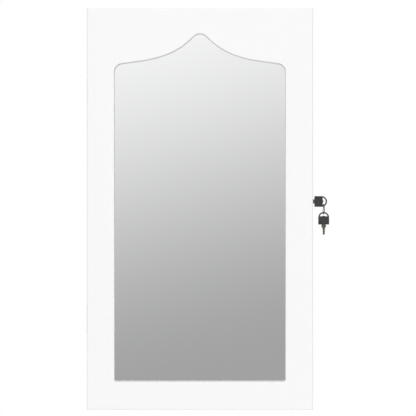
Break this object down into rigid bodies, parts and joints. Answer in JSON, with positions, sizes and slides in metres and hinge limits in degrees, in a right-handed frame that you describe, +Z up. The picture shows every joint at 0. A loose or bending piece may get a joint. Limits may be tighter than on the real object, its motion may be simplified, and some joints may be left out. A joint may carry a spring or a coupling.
{
  "type": "jewelry mirror cabinet",
  "caption": "Wall-hung jewelry cabinet with a full-height arched mirror in its hinged door, a side cam lock, keys on a ring, pegs, shelves and ring cushions inside.",
  "frame": {"origin": "centre of the back face, which is the centre of the four wall screw holes", "axes": "+X to the right seen from the front, +Y into the wall, +Z up; the mirror faces -Y"},
  "size_m": [0.4134, 0.1, 0.67],
  "materials": {
    "white_lacquer": "white satin lacquer on fibreboard",
    "mirror": "silvered glass",
    "velvet": "black velvet glued on board",
    "cushion_velvet": "black velvet over foam",
    "hinge_metal": "nickel plated steel",
    "screw_steel": "zinc plated",
    "lock_chrome": "chrome plated",
    "zinc_steel": "zinc plated",
    "magnet": "nickel plated",
    "buffer": "soft clear rubber",
    "key_metal": "nickel silver",
    "key_plastic": "black moulded plastic",
    "peg_metal": "satin nickel",
    "bar_metal": "black lacquered sheet",
    "clear_sheet": "clear acrylic sheet",
    "dowel_wood": "beech"
  },
  "bodies": {
    "cabinet": {"side_left": "white_lacquer", "side_right": "white_lacquer", "top_board": "white_lacquer", "bottom_board": "white_lacquer", "back_board": "white_lacquer", "back_lining": "velvet", "carcass_dowels": "dowel_wood", "hinge_leaf_body_upper": "hinge_metal", "hinge_leaf_body_lower": "hinge_metal", "hinge_pins": "hinge_metal", "hinge_screws_body": "screw_steel", "body_magnets": "magnet", "door_buffers": "buffer", "lock_barrel": "lock_chrome", "lock_nut": "zinc_steel", "peg_rail": "velvet", "necklace_pegs": "peg_metal", "bracelet_rod": "peg_metal", "rod_brackets": "peg_metal", "ring_tray": "velvet", "ring_roll_1": "cushion_velvet", "ring_roll_2": "cushion_velvet", "ring_roll_3": "cushion_velvet", "ring_roll_4": "cushion_velvet", "ring_roll_5": "cushion_velvet", "shelf_upper": "velvet", "shelf_lower": "velvet", "guard_upper": "clear_sheet", "guard_lower": "clear_sheet", "guard_floor": "clear_sheet"},
    "door": {"door_front": "white_lacquer", "mirror_pane": "mirror", "door_rail_left": "white_lacquer", "door_rail_right": "white_lacquer", "door_rail_top": "white_lacquer", "door_rail_bottom": "white_lacquer", "door_dowels": "dowel_wood", "door_lining": "velvet", "hinge_leaf_door_upper": "hinge_metal", "hinge_leaf_door_lower": "hinge_metal", "hinge_screws_door": "screw_steel", "door_discs": "magnet", "lock_strike": "zinc_steel", "strike_screws": "screw_steel", "door_peg_rail": "velvet", "door_pegs": "peg_metal", "earring_bar_1": "bar_metal", "earring_bar_2": "bar_metal", "earring_bar_3": "bar_metal", "bar_posts": "peg_metal", "door_guard": "clear_sheet"},
    "lock_core": {"lock_plug": "lock_chrome", "cam_screw": "screw_steel", "lock_cam": "zinc_steel", "key_blade": "key_metal", "key_bow": "key_plastic"},
    "ring": {"key_ring": "key_metal"},
    "spare_key": {"spare_key_blade": "key_metal", "spare_key_bow": "key_plastic"}
  },
  "joints": [
    {"name": "door_swing", "type": "hinge", "parent": "cabinet", "child": "door", "pos_m": [-0.1898, -0.063, 0], "axis": [0, 0, -1], "range_deg": [0, 170]},
    {"name": "lock_turn", "type": "hinge", "parent": "cabinet", "child": "lock_core", "pos_m": [0.1885, -0.031, 0.0128], "axis": [1, 0, 0], "range_deg": [0, 90]},
    {"name": "ring_swing", "type": "hinge", "parent": "lock_core", "child": "ring", "pos_m": [0.2122, -0.031, 0.00549], "axis": [1, 0, 0], "range_deg": [-90, 0]},
    {"name": "spare_key_swing", "type": "hinge", "parent": "ring", "child": "spare_key", "pos_m": [0.2122, -0.031, -0.00861], "axis": [0, 1, 0], "range_deg": [-35, 35]}
  ],
  "couplings": [
    {"joint": "ring_swing", "follows": "lock_turn", "ratio": -1}
  ]
}
